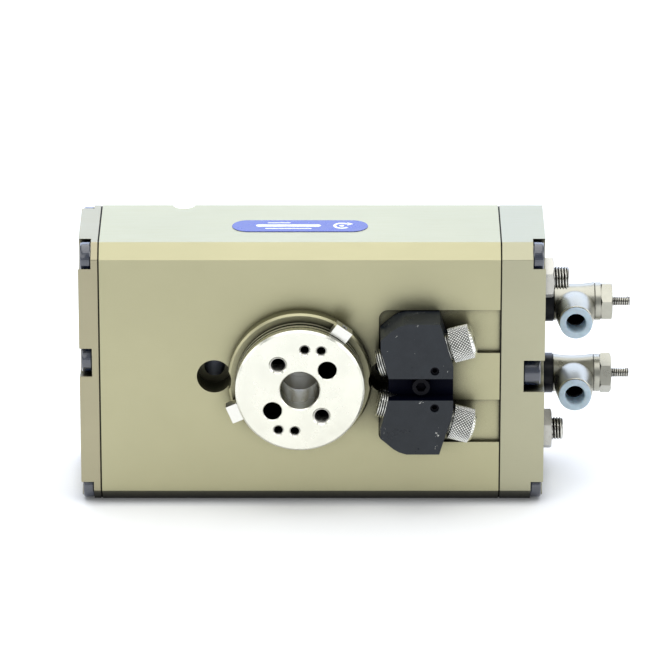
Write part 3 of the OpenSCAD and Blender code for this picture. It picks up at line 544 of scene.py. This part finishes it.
def needle(side):
    """The throttle's threaded stem, with a screwdriver slot in its outer end."""
    node = f"{side}_needle_stem"
    low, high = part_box(node)
    centre = (low + high) / 2
    place = Matrix.Translation((0, centre.y, centre.z))
    r, pitch, chamfer, plain = 2.1 * MM, 0.8 * MM, 0.35 * MM, low.x + 5 * MM
    stations = [(low.x, 0), (low.x, 0.5 * MM), (low.x + 1.2 * MM, 1.35 * MM), (plain, 1.4 * MM)]
    stations += thread_stations(plain, high.x, r, pitch, chamfer)[1:]
    piece = spun(f"{side}_threaded_stem", stations, 48, place, limit_deg=50, depth=THREAD_DEPTH * pitch)
    slot_depth, slot_half = 1.4 * MM, 0.4 * MM
    slot = box_mesh("slot_cutter", (high.x - slot_depth, centre.y - slot_half, low.z - MM),
                    (high.x + MM, centre.y + slot_half, high.z + MM))
    carve(piece, slot)
    return dress(piece, STEM, f"{side}_needle", "fitting_nickel", node)


def box_mesh(name, low, high):
    """A plain block, used only to cut with."""
    verts = [(x, y, z) for x in (low[0], high[0]) for y in (low[1], high[1]) for z in (low[2], high[2])]
    faces = [(0, 1, 3, 2), (4, 6, 7, 5), (0, 4, 5, 1), (2, 3, 7, 6), (0, 2, 6, 4), (1, 5, 7, 3)]
    mesh = bpy.data.meshes.new(name)
    mesh.from_pydata(verts, [], faces)
    piece = bpy.data.objects.new(name, mesh)
    bpy.context.scene.collection.objects.link(piece)
    return piece


def carve(piece, tool, operation="DIFFERENCE"):
    """Cuts tool from piece, or joins it on, and removes tool."""
    cut = piece.modifiers.new("cut", "BOOLEAN")
    cut.object = tool
    cut.operation = operation
    cut.solver = "EXACT"
    bpy.context.view_layer.update()
    made = bpy.data.meshes.new_from_object(piece.evaluated_get(bpy.context.evaluated_depsgraph_get()))
    piece.modifiers.clear()
    piece.data = made
    bpy.data.objects.remove(tool)
    smooth_by_angle(made, 35)


def release_ring(side):
    """The pale push-back ring, with rounded lips and a funnel mouth."""
    node = f"{side}_release_ring"
    low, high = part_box(node)
    axis = (low + high) / 2
    place = line_from(Vector((axis.x, low.y, axis.z)), (0, 1, 0))
    r, hole, sleeve, disc, length = (high.x - low.x) / 2, 4.2 * MM, 5.4 * MM, 0.9 * MM, high.y - low.y
    lip = 0.35 * MM
    outer = [(lip * (1 - math.sin(a)), r - lip * (1 - math.cos(a))) for a in (0, 0.4, 0.8, 1.2, math.pi / 2)]
    stations = [(length, hole), (1.0 * MM, hole), (0.45 * MM, hole + 0.12 * MM),
                (0.12 * MM, hole + 0.45 * MM), (0, hole + 0.8 * MM), (0, r - 1.1 * MM)]
    stations += list(reversed(outer)) + [(disc, r), (disc, sleeve), (length, sleeve)]
    piece = spun(f"{side}_push_ring", stations, 96, place, loop=True, limit_deg=40)
    return dress(piece, "ring_plastic", f"{side}_ring", "ring_plastic", node)


def swivel(side):
    """The elbow's polished body: a waisted hub about X joined to a tapering barrel towards the front."""
    node = f"{side}_swivel_body"
    low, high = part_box(node)
    hub_y, hub_z = JOINTS[f"{side}_swivel_turn"]["pos_m"][1:]
    x0, x1 = low.x, high.x
    middle = (x0 + x1) / 2
    hub_r, waist, hole = 8.45 * MM, 0.9 * MM, 5.05 * MM
    steps = 14
    hub = [(x0, hole), (x0, hub_r - 0.4 * MM)]
    for k in range(steps + 1):
        t = k / steps
        s = x0 + 0.3 * MM + (x1 - x0 - 0.6 * MM) * t
        hub.append((s, hub_r - waist * math.sin(math.pi * t) ** 0.8))
    hub += [(x1, hub_r - 0.4 * MM), (x1, hole)]
    body = spun(f"{side}_elbow", hub, 96, Matrix.Translation((0, hub_y, hub_z)), loop=True)
    length = hub_y - low.y
    mouth, bore, stop, big = 7.3 * MM, 5.45 * MM, 19.1 * MM, 8.6 * MM
    barrel = [(stop, 0), (stop, 4.0 * MM), (10.2 * MM, 4.0 * MM), (10.1 * MM, bore), (0.15 * MM, bore),
              (0, bore + 0.15 * MM), (0, mouth - 0.3 * MM), (0.3 * MM, mouth)]
    edge, taper, shoulder, drop, curve = 0.3 * MM, 13 * MM, 7.6 * MM, 5.2 * MM, 1.25
    for k in range(1, 13):
        t = k / 12
        barrel.append((edge + taper * t, mouth + (big - mouth) * math.sin(t * math.pi / 2)))
    for k in range(1, 9):
        a = k / 8 * curve
        barrel.append((edge + taper + shoulder * math.sin(a), big - drop * (1 - math.cos(a))))
    barrel.append((length - 2 * MM, big - drop))
    barrel.append((length - 2 * MM, 0))
    tube = spun("barrel", barrel, 96, line_from(Vector((middle, low.y, hub_z)), (0, 1, 0)))
    carve(body, tube, "UNION")
    dress(body, "fitting_nickel", f"{side}_swivel", "fitting_nickel", node)
    # The inside of the barrel's bore is painted near-black as painted shade.
    body.data.materials.append(SHADE)
    for face in body.data.polygons:
        away = math.hypot(face.center.x - middle, face.center.z - hub_z)
        if away < bore + 0.05 * MM and low.y + MM < face.center.y < low.y + stop + 0.1 * MM:
            face.material_index = 1
    return body


def islands(node):
    """(lowest corner, highest corner) of each separate solid of a CAD node."""
    work = bmesh.new()
    work.from_mesh(frame["nodes"][node].data)
    bmesh.ops.remove_doubles(work, verts=work.verts, dist=0.001 * MM)
    left, boxes = set(work.verts), []
    while left:
        group, edge = set(), [left.pop()]
        while edge:
            vert = edge.pop()
            group.add(vert)
            near = {e.other_vert(vert) for e in vert.link_edges} & left
            left -= near
            edge.extend(near)
        corners = [vert.co.copy() for vert in group]
        boxes.append((Vector([min(c[i] for c in corners) for i in range(3)]),
                      Vector([max(c[i] for c in corners) for i in range(3)])))
    work.free()
    return sorted(boxes, key=lambda b: (round(b[0].y, 5), round(b[0].z, 5)))


def cap_screws(node, away):
    """Socket head cap screws with serrated heads, whose heads face -X for away = -1 and +X for away = 1."""
    parts = []
    shank, teeth, low_head, full_head, sunk_less = 4 * MM, 56, 4.6 * MM, 7.4 * MM, 1.2 * MM
    socket, socket_end, rib = hexagon(5 * MM), 2.4 * MM, 0.025 * MM
    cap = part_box(node.replace("_cap_screws", "_end_cap"))
    for k, (low, high) in enumerate(islands(node)):
        y, z = (low.y + high.y) / 2, (low.z + high.z) / 2
        top = low.x if away < 0 else high.x
        outer_r = (high.z - low.z) / 2
        outer_face = cap[0].x if away < 0 else cap[1].x
        height = low_head if abs(top - outer_face) < sunk_less else full_head
        place = line_from(Vector((top, y, z)), (-away, 0, 0))

        def ribs(angle, outer_r=outer_r):
            return outer_r - rib * (1 - min(1.0, 1.5 * zigzag(angle / TAU * teeth)))

        stations = [(socket_end, 0), (socket_end, socket), (0, socket),
                    (0, 3.4 * MM), (0, outer_r - 0.75 * MM),
                    (0.12 * MM, outer_r - 0.4 * MM), (0.5 * MM, outer_r - 0.16 * MM), (0.75 * MM, ribs),
                    (height - 0.5 * MM, ribs), (height - 0.35 * MM, outer_r - 0.2 * MM),
                    (height, outer_r - 0.3 * MM), (height, shank),
                    (height + 3 * MM, shank), (height + 3 * MM, 0)]
        parts.append(spun(f"{node}_{k}", stations, teeth * 6, place, limit_deg=50))
    first = joined(f"{node}_serrated", parts)
    return dress(first, "black_screw", "housing", "black_screw", node)


def joined(name, parts):
    """One piece made of several, without moving any of them."""
    work = bmesh.new()
    for part in parts:
        work.from_mesh(part.data)
    mesh = bpy.data.meshes.new(name)
    work.to_mesh(mesh)
    work.free()
    for part in parts:
        bpy.data.objects.remove(part)
    smooth_by_angle(mesh, 40)
    whole = bpy.data.objects.new(name, mesh)
    bpy.context.scene.collection.objects.link(whole)
    return whole


# (distance from the axis, angle, radius, depth, thread pitch) of each pair of opposite holes, mm and degrees
FLANGE_HOLES = ((15, 90, 3.4, 9.8, 1.25), (18.8, 45, 2.1, 8, 0.8),
                (20.4, 24.7, 2.1, 8, 0.8), (15, 0, 4, 8, 0))
# At its lower limit the hole pattern lies along X, so at rest it is turned by this many degrees
FLANGE_TURN = -JOINTS["output_turn"]["range_deg"][0]
# Gaps between the drawn threads and the CAD walls, where they start, and their depth as a share of the pitch
WALL_GAP, END_GAP, LEAD_IN, CUT_DEPTH = 0.02, 0.05 * MM, 0.7 * MM, 0.38


def tapped_holes():
    """Threads inside the flange's blind holes, and near-black ends in them as painted shade."""
    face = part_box("output_flange")[0].y
    threads, ends = [], []
    holes = [(*hole, half_turn) for hole in FLANGE_HOLES for half_turn in (0, 180)]
    for reach, angle, r, depth, pitch, half_turn in holes:
        a = math.radians(FLANGE_TURN + angle + half_turn)
        mouth = Vector((reach * math.cos(a), 0, reach * math.sin(a))) * MM + Vector((0, face, 0))
        place = line_from(mouth, (0, 1, 0))
        wall, end = (r - WALL_GAP) * MM, depth * MM - END_GAP
        if pitch:
            steps = round(end / (pitch * MM) * 8)
            inner = []
            for k in range(steps + 1):
                s = LEAD_IN + (end - LEAD_IN) * k / steps

                def cut(around, s=s, wall=wall, pitch=pitch * MM):
                    return wall - CUT_DEPTH * pitch * min(1.0, 1.2 * zigzag(s / pitch - around / TAU))

                inner.append((s, cut))
            stations = [(LEAD_IN - 0.05 * MM, wall)] + inner + [(end, wall)]
            threads.append(spun("thread", stations, 48, place, limit_deg=60,
                                depth=CUT_DEPTH * pitch * MM))
        # A near-black cone at the end of each hole stands in for painted shade.
        shallow = end - 0.6 * MM if pitch else 0.9 * MM
        inside = wall - 0.004 * MM
        ends.append(spun("end", [(shallow, inside), (end - 0.3 * MM, inside), (end, 0)], 48, place))
    sleeve = joined("flange_hole_threads", threads)
    dress(sleeve, TAPPED, "output", "flange_nickel")
    hole_end_shade = joined("flange_hole_end_shade", ends)
    dress(hole_end_shade, SHADE, "output", "flange_nickel")


def flat_shape(name, outline, origin, z, thickness):
    """A thin printed shape lying on the top face: outline is (x, y) points about an origin."""
    ox, oy = origin
    n = len(outline)
    verts = [(ox + x, oy + y, z) for x, y in outline] + [(ox + x, oy + y, z + thickness) for x, y in outline]
    faces = [tuple(range(n))[::-1], tuple(range(n, 2 * n))]
    faces += [(i, (i + 1) % n, n + (i + 1) % n, n + i) for i in range(n)]
    mesh = bpy.data.meshes.new(name)
    mesh.from_pydata(verts, [], faces)
    piece = bpy.data.objects.new(name, mesh)
    bpy.context.scene.collection.objects.link(piece)
    return piece


def capsule(half_length, r, steps=20):
    """The outline of a bar with round ends."""
    points = []
    for side in (1, -1):
        for k in range(steps + 1):
            a = side * (-math.pi / 2) + math.pi * k / steps
            points.append((side * (half_length - r) + r * math.cos(a), r * math.sin(a)))
    return points


def arc_band(r_in, r_out, start, end, steps=28):
    """A curved band about the origin, between two angles in degrees."""
    angles = [math.radians(start + (end - start) * k / steps) for k in range(steps + 1)]
    outer = [(r_out * math.cos(a), r_out * math.sin(a)) for a in angles]
    inner = [(r_in * math.cos(a), r_in * math.sin(a)) for a in reversed(angles)]
    return outer + inner


def label():
    """A blue film label with a bevelled edge, three plain bars and a turning arrow."""
    low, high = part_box("label_plate")
    centre = ((low.x + high.x) / 2, (low.y + high.y) / 2)
    half, r = (high.x - low.x) / 2, (high.y - low.y) / 2
    thick, ink = high.z - low.z, 0.03 * MM
    film = flat_shape("label_film_sheet", capsule(half, r), centre, low.z, thick - 2 * ink)
    edge = film.modifiers.new("edge", "BEVEL")
    edge.width, edge.segments, edge.limit_method = 0.06 * MM, 2, "ANGLE"
    dress(film, "label_film", "housing", "label_film", "label_plate")
    top = high.z - 2 * ink
    marks = [
        ("bar_long", capsule(14 * MM, 1.35 * MM), (-5 * MM, 0.2 * MM)),
        ("bar_low", capsule(10 * MM, 0.45 * MM), (-5 * MM, -3.4 * MM)),
        ("bar_high", capsule(5 * MM, 0.4 * MM), (-9 * MM, 3.6 * MM)),
        ("turn_arc", arc_band(2.4 * MM, 3.7 * MM, 40, 320), (18 * MM, 0)),
        ("turn_head", [(0, -1.9 * MM), (2.6 * MM, 0), (0, 1.9 * MM)], (20.4 * MM, 2.2 * MM)),
        ("turn_hub", arc_band(0.01 * MM, 1.1 * MM, 0, 359), (18 * MM, 0)),
    ]
    for name, outline, (dx, dy) in marks:
        mark = flat_shape(f"label_{name}", outline, (centre[0] + dx, centre[1] + dy), top, ink)
        dress(mark, INK, "housing", "label_film")


def build_pieces():
    for side in ("upper", "lower"):
        sensor_plug(side)
        stop_stud(side)
        needle(side)
        release_ring(side)
        swivel(side)
    cap_screws("left_cap_screws", -1)
    cap_screws("right_cap_screws", 1)
    tapped_holes()
    label()


# ---------------------------------------------------------------- stage, lights and camera
def stage():
    """A pale paper floor under the lowest point."""
    low, high = CAD_BOX
    size, shade_reach, glow = 6.0, 7 * MM, 0.1
    verts = [(-size, -size, low[2]), (size, -size, low[2]), (size, size, low[2]), (-size, size, low[2])]
    mesh = bpy.data.meshes.new("floor")
    mesh.from_pydata(verts, [], [(0, 1, 2, 3)])
    floor = bpy.data.objects.new("floor", mesh)
    bpy.context.scene.collection.objects.link(floor)
    s = Shader("floor_paper")
    fibre = s.noise(40, 3)
    base = s.blend(s.spread(fibre, 0, 1), (0.93, 0.935, 0.945), (0.95, 0.955, 0.96))
    # The floor is darkened next to the object as a painted contact shadow.
    base = s.painted_crevice_shade(base, shade_reach, 0.6, 0.3, 0.95)
    mesh.materials.append(s.finish(Base_Color=base, Roughness=0.9, Emission_Color=base,
                                   Emission_Strength=glow))


def soft_light(name, place, aim, width, height, radiance, colour=(1, 1, 1)):
    """A large rectangular lamp with the given radiance, whatever its size."""
    data = bpy.data.lights.new(name, "AREA")
    data.shape = "RECTANGLE"
    data.size, data.size_y = width, height
    data.energy = radiance * math.pi * width * height
    data.color = colour
    lamp = bpy.data.objects.new(name, data)
    lamp.location = place
    lamp.rotation_euler = (Vector(aim) - Vector(place)).to_track_quat("-Z", "Y").to_euler()
    bpy.context.scene.collection.objects.link(lamp)


def lights():
    world = bpy.data.worlds.new("studio")
    bpy.context.scene.world = world
    world.use_nodes = True
    world.node_tree.nodes["Background"].inputs["Color"].default_value = (0.93, 0.97, 1, 1)
    world.node_tree.nodes["Background"].inputs["Strength"].default_value = 0.45
    # Each line gives the place, the aim, the width and height in metres, the radiance and the colour
    soft_light("overhead", (0, 0.1, 1.5), (0, 0.1, 0), 2.0, 2.6, 1.6)
    soft_light("backdrop", (0, 2.0, 0.95), (0, 0, 0.2), 3.4, 1.3, 2.25, (0.62, 0.73, 1.0))
    soft_light("right", (1.6, -0.3, 0.7), (0.1, 0, 0), 1.0, 1.0, 2.5)
    soft_light("left", (-1.6, -0.2, 0.6), (-0.1, 0, -0.05), 1.0, 0.9, 1.7)
    soft_light("front_left", (-1.3, -1.6, 0.9), (0, 0, 0), 1.1, 1.1, 1.12)


def camera():
    data = bpy.data.cameras.new("camera")
    data.lens = 315
    data.sensor_width = 36
    data.clip_end = 20
    lens = bpy.data.objects.new("camera", data)
    aim = Vector((14, 17, 20.3)) * MM
    tilt, distance = math.radians(21.4), 2.5
    lens.location = aim + distance * Vector((0, -math.cos(tilt), math.sin(tilt)))
    lens.rotation_euler = (aim - lens.location).to_track_quat("-Z", "Y").to_euler()
    bpy.context.scene.collection.objects.link(lens)
    bpy.context.scene.camera = lens
    bpy.context.scene.view_settings.view_transform = "Standard"


camera()
finish_cad_nodes(EDGE_WIDTHS)
build_pieces()
stage()
lights()
